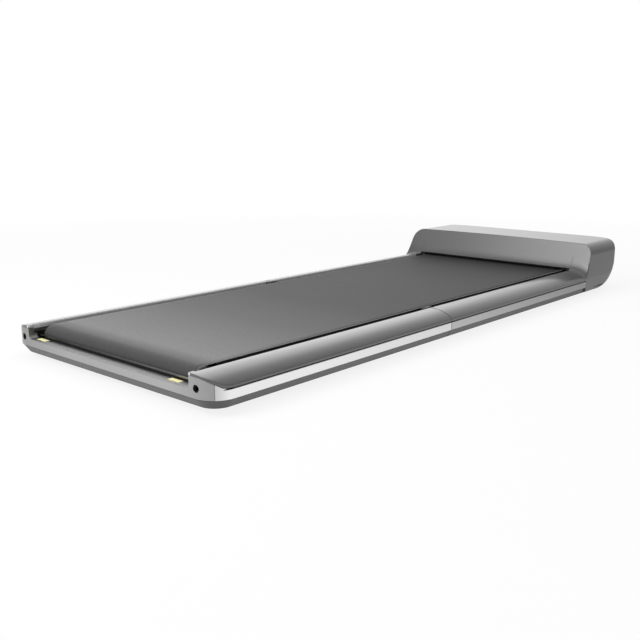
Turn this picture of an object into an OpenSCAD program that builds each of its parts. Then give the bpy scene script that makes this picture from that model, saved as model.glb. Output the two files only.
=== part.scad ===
// Walking pad that folds in half, with its drive under a raised hood.
// Y runs along the walking direction with the hood at +Y, X across, Z up.
// The origin is on the floor, under the centre of the open pad.

/* [Overall] */
// Length of the open pad, from the roller end to the hood's front
pad_length = 1432; // [1400:1:1460]
// Width over the side rails
pad_width = 547; // [535:1:570]
// Height of the hood above the floor
hood_height = 129; // [125:1:140]
// Length of the pad when it is folded in half
folded_length = 822; // [810:1:830]
// Height of the base pans' underside above the floor, which is the feet's height
base_lift = 10; // [8:0.5:12]

/* [Side rails] */
// Height of the rails' inner edge above the floor
rail_top = 62.5; // [60:0.5:66]
// Width of each rail, from the opening to the outer edge
rail_width = 50; // [47:0.5:53]
// Fall of the rail's slope from its crest to its outer edge
rail_drop = 16.5; // [14:0.5:17]
// Thickness of the moulded skins
skin = 4; // [3:0.5:4.5]
// Height of the small lip at the slope's outer edge
lip_height = 3.5; // [3:0.1:4]
// Height of the dark groove under the lip
groove_height = 2.5; // [2:0.1:3]
// Height of the bright side bands
band_height = 14.7; // [13:0.1:15]
// Thickness of the bright side bands
band_thick = 2.5; // [2:0.1:2.6]
// Gap between the two halves at the fold
fold_gap = 2; // [1.8:0.1:2.4]
// Chamfer on the skins' top edges at the fold
fold_chamfer = 1.2; // [1:0.1:1.6]

/* [Hood] */
// How far the hood's foot stands behind the hood's front
hood_depth = 230; // [224:1:232]
// Radius of the concave sweep at the hood's foot
foot_radius = 22; // [18:1:24]
// How far the hood's rear face leans forward
hood_lean = 31; // [26:1:36]
// Radius of the hood's upper side corners
hood_corner = 30; // [24:1:34]
// Draft of the hood's side walls
side_draft = 6; // [3:1:8]
// Crown of the hood's top
top_crown = 2; // [1:0.5:3]
// Radius of the hood's upper front edge
front_edge_radius = 31; // [26:1:34]
// Radius of the hood's front corners, seen from above
front_corner = 71; // [60:1:76]
// Height at which the hood's front begins to sweep under
chin_height = 75; // [70:1:78]
// How far the front sweeps back underneath
chin_depth = 86; // [80:1:90]
// Height of the hood's lower edge
hood_low = 15; // [14:0.5:15.5]

/* [Rear end] */
// Radius of the rear corners, seen from above
rear_corner = 40; // [34:1:44]
// Thickness of the crossbar's posts
post_thick = 10; // [8:0.5:11]
// Width of the crossbar's sill
sill_width = 17; // [15:0.5:17]
// Height of the sill above the floor
sill_height = 39.5; // [37:0.5:40]
// How far the posts stand into the opening between the rails
post_lip = 3.8; // [3:0.1:6]
// Radius of the cut's lower corners
cut_radius = 7; // [5:0.5:9]
// Distance from the pad's side to the crossbar's end seams
seam_inset = 11.5; // [10:0.5:14]
// Radius of the holes in the posts
post_hole_r = 6; // [5.6:0.1:6.5]

/* [Belt and rollers] */
// Gap between the walking belt's edge and the rail
belt_margin = 18.5; // [17.5:0.1:20]
// Thickness of the walking belt
belt_thick = 1.6; // [1.2:0.1:2]
// How far the belt's top lies under the rails' inner edge
belt_drop = 1; // [0.5:0.1:1.5]
// Radius of the front and rear rollers
roller_r = 19; // [18:0.5:19.5]
// Distance from the front end to the front roller's axis
front_roller_inset = 168; // [164:1:172]
// Distance from the rear end to the rear roller's axis
rear_roller_inset = 42; // [41:0.5:46]
// Radius of the rollers' fixed shafts
shaft_r = 7; // [6:0.5:7]
// Running clearance of shafts and pins in their bores
run_clear = 0.05; // [0.03:0.01:0.08]
// Radius of the fold's guide rollers
guide_r = 9; // [8:0.5:9]
// Radius of the guide rollers' shafts
guide_shaft_r = 4; // [3:0.5:4]
// Distance from the fold to the upper guide rollers
upper_guide_at = 24; // [23:0.5:26]
// Distance from the fold to the lower guide rollers
lower_guide_at = 62; // [60:1:66]

/* [Deck and frame] */
// Thickness of the deck boards
deck_thick = 12; // [10:0.5:13]
// Thickness of the rubber cushions under the deck boards
cushion_thick = 4; // [3:0.5:5]
// Height of the frame's cross members
member_height = 16; // [14:0.5:17]
// Width of the frame's cross members
member_width = 30; // [25:1:35]
// Width of the side frame tubes
frame_w = 23.4; // [23:0.1:24]
// Wall of the frame tubes
frame_wall = 2; // [1.5:0.1:2.5]
// Wall of the base pans
pan_wall = 2.5; // [2:0.1:2.6]

/* [Fold hinge] */
// Distance from the fold to each hinge pin
pin_offset = 9.5; // [9.5:0.1:10]
// Depth of the hinge pins under the rails' inner edge
pin_depth = 4.5; // [4.4:0.1:4.6]
// Radius of the hinge pins
pin_r = 2.4; // [2:0.1:2.6]
// Radius of the hinge knuckles
knuckle_r = 4.2; // [3.8:0.1:4.3]
// Thickness of the link plates
link_thick = 5; // [4:0.1:5]
// Thickness of the hinge ears
ear_thick = 2.6; // [2.2:0.1:2.8]

/* [Drive] */
// Radius of the motor can
motor_r = 40; // [36:1:41]
// Length of the motor can
motor_length = 150; // [130:5:160]
// Distance from the front roller's axis to the motor's axis along Y
motor_ahead = 92; // [90:1:96]
// Height of the motor's axis above the floor
motor_height = 70; // [68:1:72]
// Radius of the motor's pulley
motor_pulley_r = 12; // [10:0.5:14]
// Radius of the front roller's pulley
roller_pulley_r = 24; // [22:0.5:25]
// Width of the pulleys
pulley_w = 12; // [10:0.5:12]
// Thickness of the ribbed drive belt
drive_belt_thick = 2.5; // [2:0.1:3]

/* [Wheels, feet and switch] */
// Radius of the transport wheels
wheel_r = 20; // [18:0.5:20]
// Width of the transport wheels
wheel_w = 20; // [16:1:22]
// Gap between the transport wheels and the floor
wheel_lift = 1.5; // [1:0.1:2]
// Radius of the rubber feet
foot_r = 14; // [10:0.5:16]
// Width of the power inlet's housing
inlet_w = 28; // [26:0.5:30]
// Height of the power inlet's housing
inlet_h = 20; // [18:0.5:21]
// Width of the rocker switch
switch_w = 16; // [14:0.5:18]
// Height of the rocker switch
switch_h = 20; // [18:0.5:21]

/* [Hidden] */

$fn = 48;
eps = 0.01;
// Clearance between pieces that lie beside each other
seat = 0.3;
shell_colour = [0.56, 0.56, 0.57];
band_colour = [0.85, 0.85, 0.86];
bar_colour = [0.68, 0.68, 0.69];
base_colour = [0.38, 0.38, 0.39];
belt_colour = [0.18, 0.18, 0.19];
steel_colour = [0.5, 0.52, 0.55];
black = [0.1, 0.1, 0.11];

half_l = pad_length / 2;
half_w = pad_width / 2;
fold_y = half_l - folded_length;
front_half_length = folded_length;
rear_half_length = pad_length - folded_length;
rail_in = half_w - rail_width;
belt_width = 2 * (rail_in - belt_margin);
cut_half = rail_in - post_lip;
seam_x = half_w - seam_inset;

// Heights of the side, from the lip down to the pan
slope_low = rail_top - rail_drop;
lip_low = slope_low - lip_height;
band_high = lip_low - groove_height;
band_low = band_high - band_height;

// Slope of the rail: part of an ellipse, swept by an angle
slope_angle = 60;
slope_steps = 15;
crest_inset = 1.5;
edge_break = 0.8;
inner_wall_height = 14;
inner_wall_low = rail_top - inner_wall_height;

// Base pan: tapers in below the bands, with an upstand behind them
pan_gap = 0.8;
pan_top = band_low - pan_gap;
pan_taper = 11.5;
upstand_in = half_w - band_thick - 0.1;
upstand_thick = 2.8;
upstand_top = lip_low - seat;
pan_end_height = 38;

// Belt path, measured from the fold
belt_top = rail_top - belt_drop;
belt_under = belt_top - belt_thick;
roller_z = belt_under - roller_r;
front_roller_at = front_half_length - front_roller_inset;
rear_roller_at = rear_half_length - rear_roller_inset;
run_gap = 6;
guide_upper_z = belt_under - run_gap - belt_thick - guide_r;
guide_lower_z = roller_z - roller_r + guide_r;
belt_split = 3;
arc_steps = 12;
roll_gap = 0.08;

// Side frames, deck and cross members
frame_in = rail_in;
frame_mid = frame_in + frame_w / 2;
frame_start = fold_gap / 2 + pan_wall;
frame_low = base_lift + pan_wall;
frame_height = inner_wall_low - frame_low;
deck_start = upper_guide_at + guide_r + belt_thick + 6;
deck_side = 2;
deck_width = belt_width - deck_side;
deck_under = belt_under - deck_thick;
member_top = deck_under - cushion_thick;
roller_room = 6;
front_deck_end = front_roller_at - roller_r - roller_room;
rear_deck_end = rear_roller_at - roller_r - roller_room;
member_inset = 40;
first_member = lower_guide_at + guide_r + member_inset;
front_member_at = [for (i = [0:3]) first_member + i * (front_deck_end - member_inset - first_member) / 3];
rear_member_at = [for (i = [0:2]) first_member + i * (rear_deck_end - member_inset - first_member) / 2];
cushion_r = 14;
cushion_x = [for (t = [-1:1]) t * (deck_width / 2 - 44)];
tube_plug = 4;
boss_length = 4;
boss_w = 18;
front_frame_end = front_roller_at + 34;
rear_frame_end = rear_half_length - post_thick - boss_length;

// Rollers
roller_half = belt_width / 2 + 2;
bearing_r = roller_r - 5;
bearing_w = 9;
bearing_x = roller_half - bearing_w;
pulley_in = roller_half;
pulley_out = pulley_in + pulley_w;
pulley_hub_r = shaft_r + 2;

// Hinge
pin_z = rail_top - pin_depth;
ear_x = roller_half + 2.8;
ear_gap = 0.25;
link_x = ear_x + ear_thick + ear_gap;
outer_ear_x = link_x + link_thick + ear_gap;
leaf_out = outer_ear_x + ear_thick;
leaf_low = 30;
leaf_high = 37;
leaf_end = 50;

// Hood
hood_foot_y = half_l - hood_depth;
foot_z = slope_low;
hood_wall_y = hood_foot_y + 9;
rail_end_y = hood_foot_y + foot_radius + skin;
mouth_y = hood_foot_y + foot_radius - 1;
opening_corner = 10;
hood_rear_top = hood_foot_y + foot_radius + hood_lean;
draft_start = slope_low;
slot_start = hood_foot_y + 58;
slot_length = 52;
slot_low = hood_low + 5.5;
slot_height = 2;
chin_start = half_l - chin_depth;
bay_y = chin_start - 2;

// Drive
front_roller_y = fold_y + front_roller_at;
motor_y = front_roller_y + motor_ahead;
motor_x0 = -70;
bracket_thick = 4;
rotor_r = 8;
board_z = frame_low + 5;
board_thick = 1.6;
board_x = rail_in - 123.5;
board_w = 65;
board_y = front_roller_y + 30;
board_end = bay_y - 4;
fin_pitch = 10.8;

// Transport wheels
wheel_y = front_roller_y + 54;
wheel_z = wheel_lift + wheel_r;
wheel_axle_r = 4;
wheel_ear = 3;
wheel_slot = 3;
wheel_x = roller_half - wheel_w / 2 - wheel_ear - 2;

// Feet
foot_x = rail_in - 23.5;
foot_inset = 50;
front_foot_at = [foot_inset, front_roller_at - 94];
rear_foot_at = [foot_inset, rear_roller_at - 38];

// Inlet and switch on the hood's front
socket_z = chin_height + inlet_h / 2 + 2;
inlet_x = 73.5 - rail_in;
switch_x = inlet_x + inlet_w / 2 + switch_w / 2 + 12;
socket_depth = 16;
rocker_gap = 0.3;
rocker_depth = 6;
rocker_pivot = 3.5;

// Screws
screw_head_r = 3.5;
screw_head = 1.2;
screw_r = 1.7;
screw_length = 5;
screw_inset = 90;
front_screw_inset = 134;
rear_screw_inset = 68;
front_screw_at = [for (i = [0:2]) screw_inset + i * (front_roller_at - front_screw_inset - screw_inset) / 2];
rear_screw_at = [for (i = [0:2]) screw_inset + i * (rear_roller_at - rear_screw_inset - screw_inset) / 2];

// Extrudes a Y-Z outline along X
module along_x(x0, x1) {
    translate([x0, 0, 0]) rotate([90, 0, 90]) linear_extrude(x1 - x0) children();
}

// Extrudes an X-Z outline along Y
module along_y(y0, y1) {
    translate([0, y1, 0]) rotate([90, 0, 0]) linear_extrude(y1 - y0) children();
}

// Extrudes an X-Y outline along Z
module along_z(z0, z1) {
    translate([0, 0, z0]) linear_extrude(z1 - z0) children();
}

module block(x0, x1, y0, y1, z0, z1) {
    translate([x0, y0, z0]) cube([x1 - x0, y1 - y0, z1 - z0]);
}

// Cylinder along X at a Y and Z
module rod_x(x0, x1, y, z, r) {
    translate([x0, y, z]) rotate([0, 90, 0]) cylinder(h = x1 - x0, r = r);
}

// Cylinder along Y at an X and Z
module rod_y(x, y0, y1, z, r) {
    translate([x, y0, z]) rotate([-90, 0, 0]) cylinder(h = y1 - y0, r = r);
}

module both_sides() {
    children();
    mirror([1, 0, 0]) children();
}

// Places a half that is drawn with its distance from the fold as +Y
module front_half() {
    translate([0, fold_y, 0]) children();
}

module rear_half() {
    translate([0, fold_y, 0]) mirror([0, 1, 0]) children();
}

function reversed(list) = [for (i = [len(list) - 1:-1:0]) list[i]];
function flipped(list) = [for (p = reversed(list)) [-p[0], p[1]]];
function arc(cx, cy, r, a0, a1, n = arc_steps) =
    [for (i = [0:n]) let (a = a0 + (a1 - a0) * i / n) [cx + r * cos(a), cy + r * sin(a)]];
function oval(cx, cy, rx, ry, a0, a1, n = arc_steps) =
    [for (i = [0:n]) let (a = a0 + (a1 - a0) * i / n) [cx + rx * cos(a), cy + ry * sin(a)]];

// Points of the rail's slope, from crest to outer edge, cut in by a distance but ending inside the lip
function slope(cut) = let (fall = min(rail_drop, rail_top - cut - lip_low - 0.5))
    [for (i = [0:slope_steps]) let (a = slope_angle * i / slope_steps)
        [rail_in + crest_inset + cut + (half_w - rail_in - crest_inset - 2 * cut) * sin(a) / sin(slope_angle),
            rail_top - cut - fall * (1 - cos(a)) / (1 - cos(slope_angle))]];

// Section of the moulded rail cover on the +X side
function rail_section() = concat(
    [[rail_in, inner_wall_low], [rail_in, rail_top - edge_break], [rail_in + edge_break, rail_top]],
    slope(0),
    [[half_w, lip_low], [half_w - skin, lip_low]],
    reversed(slope(skin)),
    [[rail_in + skin, rail_top - skin], [rail_in + skin, inner_wall_low]]);

// Room under the rail cover
function rail_room() = concat(
    [[rail_in + skin, 0], [rail_in + skin, rail_top - skin]],
    slope(skin), [[half_w - skin, 0]]);

// Outline of the rear half seen from above, in distances from the fold
function rear_plan(cut) = concat(
    [[half_w - cut, 0]],
    arc(half_w - rear_corner, rear_half_length - rear_corner, rear_corner - cut, 0, 90),
    arc(-half_w + rear_corner, rear_half_length - rear_corner, rear_corner - cut, 90, 180),
    [[-half_w + cut, 0]]);

// Outlines of the hood: from above, from the front and from the side
corner_steps = 14;
hood_reach = 3 * half_l;
function hood_plan(cut, around = false) =
    let (half = around ? 45 / corner_steps : 0, r = (front_corner - cut) / cos(half),
        steps = corner_steps - (around ? 1 : 0))
    concat([[half_w - cut, -hood_reach]],
        arc(half_w - front_corner, half_l - front_corner, r, half, 90 - half, steps),
        arc(-half_w + front_corner, half_l - front_corner, r, 90 + half, 180 - half, steps),
        [[-half_w + cut, -hood_reach]]);

corner_z = hood_height - top_crown - hood_corner;
corner_x = half_w - side_draft - hood_corner;
crown_steps = 6;
// Angle at which the drafted side runs straight on into the corner's arc
function corner_turn(cut) = let (dx = half_w - cut - corner_x, dz = draft_start - corner_z)
    atan2(dz, dx) + acos((hood_corner - cut) / sqrt(dx * dx + dz * dz));
function hood_front_right(cut) = concat(
    [[half_w - cut, 0], [half_w - cut, draft_start]],
    arc(corner_x, corner_z, hood_corner - cut, corner_turn(cut), 90),
    [for (i = [1:crown_steps]) let (t = 1 - i / crown_steps)
        [corner_x * t, hood_height - cut - top_crown * t * t]]);
function hood_front(cut) = concat(hood_front_right(cut), flipped(hood_front_right(cut)));

// Angle at which the foot's arc runs straight on into the leaning rear face
function foot_turn(cut) = let (dy = hood_rear_top + cut - hood_foot_y, dz = hood_height - cut - foot_z - foot_radius)
    atan2(dz, dy) - acos((foot_radius + cut) / sqrt(dy * dy + dz * dz));
function hood_foot(cut) = cut > 0
    ? concat([[hood_wall_y + cut, 0]],
        arc(hood_foot_y, foot_z + foot_radius, foot_radius + cut,
            asin((hood_wall_y + cut - hood_foot_y) / (foot_radius + cut)) - 90, foot_turn(cut), 8))
    : concat([[hood_wall_y, hood_low], [hood_wall_y, lip_low], [hood_foot_y, lip_low]],
        arc(hood_foot_y, foot_z + foot_radius, foot_radius, -90, foot_turn(0)));
function hood_side(cut) = concat(
    hood_foot(cut),
    [[hood_rear_top + cut, hood_height - cut], [half_l + 1, hood_height - cut]],
    [[half_l + 1, cut > 0 ? 0 : hood_low]]);

// Front of the hood in the side view, from the top edge down to the underside of the chin
edge_steps = 6;
chin_steps = 9;
function hood_nose(cut) = concat(
    arc(half_l - front_edge_radius, hood_height - front_edge_radius, front_edge_radius - cut, 90, 0, edge_steps),
    oval(chin_start, chin_height, chin_depth - cut, chin_height - hood_low - cut, 0, -90, chin_steps));

// The plan outline swept along one stretch of the nose, so that the corners follow it round.
// Its corners have their facets' ends on the arc, or their middles, in turn from stretch to stretch.
module nose_stretch(cut, from, to, around) {
    lean = atan2(to[0] - from[0], from[1] - to[1]);
    translate([0, from[0], from[1]]) rotate([lean, 0, 0]) translate([0, 0, -hood_reach])
        linear_extrude(2 * hood_reach)
            polygon([for (p = hood_plan(cut, around)) [p[0], (p[1] - half_l + cut) * cos(lean)]]);
}

module hood_form(cut) {
    nose = hood_nose(cut);
    intersection() {
        along_x(-half_w, half_w) polygon(hood_side(cut));
        along_y(0, half_l + 1) polygon(hood_front(cut));
        intersection_for (i = [1:len(nose) - 1]) nose_stretch(cut, nose[i - 1], nose[i], i % 2 == 0);
    }
}

// Plan outline of the hood between two heights, with its front at a given place
module hood_slab(cut, front_y, z0, z1) {
    translate([0, front_y - half_l + cut, 0]) along_z(z0, z1) polygon(hood_plan(cut));
}

// Open underside of the hood, up to where the chin begins
module hood_bottom() {
    intersection() {
        hood_slab(skin, chin_start - 2, -1, hood_low + skin + 1);
        block(-half_w, half_w, hood_wall_y + skin, half_l, -2, hood_low + skin + 2);
    }
}

// Chamfer tool for the top edge at the fold, in distances from the fold
module fold_edge() {
    along_x(-half_w - 1, half_w + 1)
        polygon([[fold_gap / 2 - 1, rail_top - fold_chamfer - 1], [fold_gap / 2 - 1, rail_top + 1],
            [fold_gap / 2 + fold_chamfer + 1, rail_top + 1]]);
}

// Mouth through which the belt runs in under the hood, with rounded corners
function belt_mouth() = concat(
    [[-rail_in, hood_foot_y - 1], [rail_in, hood_foot_y - 1]],
    arc(rail_in - opening_corner, mouth_y - opening_corner, opening_corner, 0, 90, 6),
    [[rail_in - opening_corner, rail_end_y + 1], [-rail_in + opening_corner, rail_end_y + 1]],
    arc(-rail_in + opening_corner, mouth_y - opening_corner, opening_corner, 90, 180, 6));

module front_shell() {
    color(shell_colour) difference() {
        union() {
            hood_form(0);
            both_sides() along_y(fold_y + fold_gap / 2, rail_end_y) polygon(rail_section());
            both_sides() block(rail_in - opening_corner, rail_in + 1, hood_foot_y, rail_end_y,
                rail_top - skin, rail_top - edge_break);
        }
        hood_form(skin);
        hood_bottom();
        both_sides() along_y(hood_foot_y - 1, rail_end_y) polygon(rail_room());
        along_z(-1, rail_top) polygon(belt_mouth());
        both_sides() block(rail_in - 1, rail_in + skin + 1, hood_foot_y - 1, rail_end_y, -1, inner_wall_low);
        front_half() fold_edge();
        front_socket(inlet_x, inlet_w, inlet_h);
        front_socket(switch_x, switch_w, switch_h);
        both_sides() block(half_w - skin - 1, half_w + 1, slot_start, slot_start + slot_length,
            slot_low, slot_low + slot_height);
    }
}

// Hole through the hood's front wall for a housing
module front_socket(x, w, h) {
    block(x - w / 2, x + w / 2, half_l - skin - 1, half_l + 1, socket_z - h / 2, socket_z + h / 2);
}

module front_band(side) {
    color(band_colour) mirror([side < 0 ? 1 : 0, 0, 0])
        block(half_w - band_thick, half_w, fold_y + fold_gap / 2, hood_wall_y - seat, band_low, band_high);
}

// Section of a base pan on the +X side, open at the top
function pan_section() = [[0, base_lift], [half_w - pan_taper, base_lift], [half_w - 1, pan_top],
    [upstand_in, pan_top], [upstand_in, upstand_top], [upstand_in - upstand_thick, upstand_top],
    [upstand_in - upstand_thick, pan_top + 1], [half_w - pan_taper - pan_wall, base_lift + pan_wall],
    [0, base_lift + pan_wall]];

module pan_run(y0, y1) {
    both_sides() along_y(y0, y1) polygon(pan_section());
}

// End wall of a pan at the fold, under the belt
module pan_end(y0, y1) {
    along_y(y0, y1) polygon([[-half_w + pan_taper, base_lift], [half_w - pan_taper, base_lift],
        [frame_in + frame_w, pan_end_height], [-frame_in - frame_w, pan_end_height]]);
}

module front_base() {
    pan_stop = hood_wall_y - seat;
    color(base_colour) difference() {
        union() {
            pan_run(fold_y + fold_gap / 2, pan_stop);
            front_half() pan_end(fold_gap / 2, fold_gap / 2 + pan_wall);
            intersection() {
                hood_slab(pan_taper, bay_y, base_lift, base_lift + pan_wall);
                block(-half_w, half_w, pan_stop - 1, half_l, base_lift - 1, base_lift + pan_wall + 1);
            }
            both_sides() for (x = [wheel_x - wheel_w / 2 - wheel_ear - 1, wheel_x + wheel_w / 2 + 1])
                wheel_ear_plate(x);
        }
        both_sides() block(wheel_x - wheel_w / 2 - 1, wheel_x + wheel_w / 2 + 1,
            wheel_y - wheel_r - wheel_slot, wheel_y + wheel_r + wheel_slot, 0, base_lift + pan_wall + 1);
        both_sides() rod_x(wheel_x - wheel_w, wheel_x + wheel_w, wheel_y, wheel_z, wheel_axle_r);
        screw_holes(front_screw_at, 1);
    }
}

module wheel_ear_plate(x) {
    block(x, x + wheel_ear, wheel_y - 9, wheel_y + 9, base_lift, wheel_z);
    rod_x(x, x + wheel_ear, wheel_y, wheel_z, 9);
}

module screw_holes(places, way) {
    for (x = [-frame_mid, frame_mid], u = places)
        translate([x, fold_y + way * u, base_lift - 1]) cylinder(h = pan_wall + frame_wall + 2, r = screw_r);
}

module screws(places, way) {
    color(steel_colour) for (x = [-frame_mid, frame_mid], u = places)
        translate([x, fold_y + way * u, base_lift - screw_head]) {
            cylinder(h = screw_head, r = screw_head_r);
            cylinder(h = screw_head + screw_length, r = screw_r);
        }
}

// Side frame tube, in distances from the fold
module frame_tube(u0, u1) {
    difference() {
        block(frame_in, frame_in + frame_w, u0, u1, frame_low, frame_low + frame_height);
        block(frame_in + frame_wall, frame_in + frame_w - frame_wall, u0 - 1, u1 - tube_plug,
            frame_low + frame_wall, frame_low + frame_height - frame_wall);
        guide_shaft_rods(frame_in - 1, frame_in + frame_w + 1);
    }
}

module guide_shaft_rods(x0, x1) {
    rod_x(x0, x1, upper_guide_at, guide_upper_z, guide_shaft_r);
    rod_x(x0, x1, lower_guide_at, guide_lower_z, guide_shaft_r);
}

module front_frame(side) {
    color(steel_colour) mirror([side < 0 ? 1 : 0, 0, 0]) front_half() difference() {
        frame_tube(frame_start, front_frame_end);
        rod_x(frame_in - 1, frame_in + frame_w + 1, front_roller_at, roller_z, shaft_r);
        translate([0, -fold_y, 0]) screw_holes(front_screw_at, 1);
    }
}

module rear_frame(side) {
    color(steel_colour) mirror([side < 0 ? 1 : 0, 0, 0]) rear_half() difference() {
        frame_tube(frame_start, rear_frame_end);
        rod_x(frame_in - 1, frame_in + frame_w + 1, rear_roller_at, roller_z, shaft_r);
        rod_y(frame_mid, rear_frame_end - tube_plug - 1, rear_frame_end + 1, roller_z, bolt_r);
        translate([0, -fold_y, 0]) screw_holes(rear_screw_at, 1);
    }
}

module cross_members(places) {
    color(steel_colour) for (u = places) difference() {
        block(-frame_in, frame_in, u - member_width / 2, u + member_width / 2,
            member_top - member_height, member_top);
        block(-frame_in - 1, frame_in + 1, u - member_width / 2 + frame_wall, u + member_width / 2 - frame_wall,
            member_top - member_height + frame_wall, member_top - frame_wall);
    }
}

module deck(u_end) {
    color([0.25, 0.22, 0.2])
        block(-deck_width / 2, deck_width / 2, deck_start, u_end, deck_under, belt_under);
}

module cushions(places) {
    color(black) for (x = cushion_x, u = places)
        translate([x, u, member_top]) cylinder(h = cushion_thick, r = cushion_r);
}

// Angle of the belt's run between the upper and the lower guide roller
guide_dy = lower_guide_at - upper_guide_at;
guide_dz = guide_upper_z - guide_lower_z;
guide_dist = sqrt(guide_dy * guide_dy + guide_dz * guide_dz);
dive = asin((2 * guide_r + belt_thick) / guide_dist) + atan2(guide_dz, guide_dy);

// One face of the belt's loop, at a distance inside its outer face, from the top run to the lower run
function belt_face(roller_at, inner) = concat(
    [[belt_split, belt_top - inner]],
    arc(roller_at, roller_z, roller_r + belt_thick - inner, 90, -90, 2 * arc_steps),
    arc(lower_guide_at, guide_lower_z, guide_r + belt_thick - inner, 270, 270 - dive, 6),
    arc(upper_guide_at, guide_upper_z, guide_r + inner, 90 - dive, 90, 6),
    [[belt_split, guide_upper_z + guide_r + inner]]);

module belt_half(roller_at) {
    color(belt_colour) along_x(-belt_width / 2, belt_width / 2)
        polygon(concat(belt_face(roller_at, 0), reversed(belt_face(roller_at, belt_thick))));
}

module roller(u) {
    color(steel_colour) difference() {
        rod_x(-roller_half, roller_half, u, roller_z, roller_r - roll_gap);
        rod_x(-roller_half - 1, roller_half + 1, u, roller_z, bearing_r);
    }
}

module bearings(u) {
    color([0.75, 0.76, 0.78]) both_sides() difference() {
        rod_x(bearing_x, bearing_x + bearing_w, u, roller_z, bearing_r);
        rod_x(bearing_x - 1, bearing_x + bearing_w + 1, u, roller_z, shaft_r + run_clear);
    }
}

module roller_shaft(u) {
    rod_x(-frame_in - frame_w, frame_in + frame_w, u, roller_z, shaft_r);
}

module guide_roller(u, z) {
    color(black) difference() {
        rod_x(-roller_half, roller_half, u, z, guide_r - roll_gap);
        rod_x(-roller_half - 1, roller_half + 1, u, z, guide_shaft_r + run_clear);
    }
}

module guide_shafts() {
    color(steel_colour) guide_shaft_rods(-frame_in - frame_w, frame_in + frame_w);
}

module roller_pulley() {
    color(black) front_half() difference() {
        rod_x(-pulley_out, -pulley_in, front_roller_at, roller_z, roller_pulley_r);
        rod_x(-pulley_out - 1, -pulley_in + 1, front_roller_at, roller_z, pulley_hub_r);
    }
}

// Points of a belt round the roller's pulley and the motor's pulley
drive_rise = atan2(motor_height - roller_z, motor_ahead);
drive_span = sqrt(pow(motor_height - roller_z, 2) + pow(motor_ahead, 2));
drive_splay = asin((roller_pulley_r - motor_pulley_r) / drive_span);
function drive_loop(out) = concat(
    arc(front_roller_y, roller_z, roller_pulley_r + out, drive_rise + 90 - drive_splay,
        drive_rise + 270 + drive_splay, 2 * arc_steps),
    arc(motor_y, motor_height, motor_pulley_r + out, drive_rise - 90 + drive_splay,
        drive_rise + 90 - drive_splay, arc_steps));

module drive_belt() {
    color(black) along_x(-pulley_out, -pulley_in) difference() {
        polygon(drive_loop(seat + drive_belt_thick));
        polygon(drive_loop(seat));
    }
}

module motor_housing() {
    color([0.3, 0.31, 0.33]) difference() {
        rod_x(motor_x0, motor_x0 + motor_length, motor_y, motor_height, motor_r);
        rod_x(motor_x0 - 1, motor_x0 + motor_length - 8, motor_y, motor_height, rotor_r + seat);
    }
}

module motor_bracket() {
    color(steel_colour) difference() {
        union() {
            block(motor_x0 + 10, motor_x0 + motor_length - 10, motor_y - motor_r, bay_y,
                frame_low, frame_low + bracket_thick);
            for (x = [motor_x0 + 20, motor_x0 + motor_length - 20 - bracket_thick])
                block(x, x + bracket_thick, motor_y - motor_r, bay_y, frame_low, motor_height - motor_r / 2);
        }
        rod_x(motor_x0, motor_x0 + motor_length, motor_y, motor_height, motor_r);
    }
}

module motor_rotor() {
    color([0.7, 0.7, 0.72]) {
        rod_x(-pulley_out, motor_x0 + motor_length - 8 - seat, motor_y, motor_height, rotor_r);
        rod_x(-pulley_out, -pulley_in, motor_y, motor_height, motor_pulley_r);
    }
}

module controller_board() {
    color([0.1, 0.3, 0.2]) {
        block(board_x, board_x + board_w, board_y, board_end, board_z, board_z + board_thick);
        for (x = [board_x + 5, board_x + board_w - 5], y = [board_y + 5, board_end - 5])
            translate([x, y, frame_low]) cylinder(h = board_z - frame_low + eps, r = 2.5);
    }
}

module heat_sink() {
    color(black) {
        block(board_x + 4, board_x + board_w - 4, board_y + 4, board_end - 4,
            board_z + board_thick, board_z + board_thick + 3);
        for (i = [0:5])
            block(board_x + 4 + i * fin_pitch, board_x + 7 + i * fin_pitch, board_y + 4, board_end - 4,
                board_z + board_thick + 2, board_z + 26);
    }
}

module power_inlet() {
    color(black) difference() {
        block(inlet_x - inlet_w / 2, inlet_x + inlet_w / 2, half_l - socket_depth - 3, half_l,
            socket_z - inlet_h / 2, socket_z + inlet_h / 2);
        block(inlet_x - inlet_w / 2 + 3, inlet_x + inlet_w / 2 - 3, half_l - socket_depth, half_l + 1,
            socket_z - inlet_h / 2 + 3, socket_z + inlet_h / 2 - 3);
    }
}

module switch_frame() {
    color(black) difference() {
        block(switch_x - switch_w / 2, switch_x + switch_w / 2, half_l - socket_depth, half_l,
            socket_z - switch_h / 2, socket_z + switch_h / 2);
        block(switch_x - switch_w / 2 + 2, switch_x + switch_w / 2 - 2, half_l - rocker_depth - 3, half_l + 1,
            socket_z - switch_h / 2 + 2, socket_z + switch_h / 2 - 2);
        rocker_pin(run_clear);
    }
}

module rocker_pin(extra) {
    rod_x(switch_x - switch_w / 2 + 0.8 - extra, switch_x + switch_w / 2 - 0.8 + extra,
        half_l - rocker_pivot, socket_z, 1 + extra);
}

module switch_rocker() {
    rocker_half = switch_h / 2 - 2 - 1;
    color(black) rocker_pin(0);
    color(black) along_x(switch_x - switch_w / 2 + 2 + rocker_gap, switch_x + switch_w / 2 - 2 - rocker_gap)
        polygon([[half_l - rocker_depth, socket_z - rocker_half + 2],
            [half_l - rocker_depth, socket_z + rocker_half - 2],
            [half_l - 2.5, socket_z + rocker_half], [half_l - 1.5, socket_z],
            [half_l, socket_z - rocker_half]]);
}

module wheel(side) {
    color(black) mirror([side < 0 ? 1 : 0, 0, 0]) difference() {
        rod_x(wheel_x - wheel_w / 2, wheel_x + wheel_w / 2, wheel_y, wheel_z, wheel_r);
        rod_x(wheel_x - wheel_w, wheel_x + wheel_w, wheel_y, wheel_z, wheel_axle_r + run_clear);
    }
}

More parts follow.
